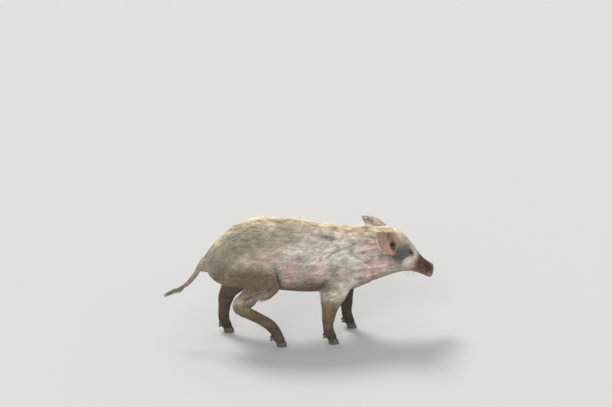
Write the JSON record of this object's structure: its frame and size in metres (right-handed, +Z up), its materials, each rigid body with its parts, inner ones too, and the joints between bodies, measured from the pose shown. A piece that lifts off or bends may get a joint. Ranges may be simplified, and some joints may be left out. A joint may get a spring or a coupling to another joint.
{
  "type": "life-size young domestic pig figure",
  "caption": "Still, life-size figure of a young bristly domestic pig wading forward with its head lowered, standing on its claws.",
  "frame": {"origin": "on the floor under the middle of the figure's box, the claws' soles at Z = 0", "axes": "+X towards the muzzle, +Y to the pig's left, +Z up"},
  "size_m": [1.1592, 0.2492, 0.5564],
  "materials": {
    "skin": "thin pale skin under short bristles",
    "muddy_skin": "skin and bristles caked with drying mud",
    "ear_skin": "thin, slightly translucent ear skin",
    "muzzle_skin": "moist bare skin",
    "horn": "dull, dirty horn",
    "eye": "wet and dark",
    "bristle": "coarse pale bristles"
  },
  "bodies": {
    "root": {"claw_fore_left_inner": "horn", "claw_fore_left_outer": "horn", "claw_fore_right_inner": "horn", "claw_fore_right_outer": "horn", "claw_hind_left_inner": "horn", "claw_hind_left_outer": "horn", "claw_hind_right_inner": "horn", "claw_hind_right_outer": "horn", "dewclaw_fore_left_inner": "horn", "dewclaw_fore_left_outer": "horn", "dewclaw_fore_right_inner": "horn", "dewclaw_fore_right_outer": "horn", "dewclaw_hind_left_inner": "horn", "dewclaw_hind_left_outer": "horn", "dewclaw_hind_right_inner": "horn", "dewclaw_hind_right_outer": "horn", "ear_left": "ear_skin", "ear_right": "ear_skin", "eye_left": "eye", "eye_right": "eye", "fore_foot_left": "muddy_skin", "fore_foot_right": "muddy_skin", "forearm_left": "muddy_skin", "forearm_right": "muddy_skin", "head": "skin", "hind_foot_left": "muddy_skin", "hind_foot_right": "muddy_skin", "muzzle_disc": "muzzle_skin", "neck": "skin", "shank_left": "muddy_skin", "shank_right": "muddy_skin", "tail": "skin", "tail_switch": "bristle", "thigh_left": "skin", "thigh_right": "skin", "torso": "skin"}
  },
  "joints": []
}
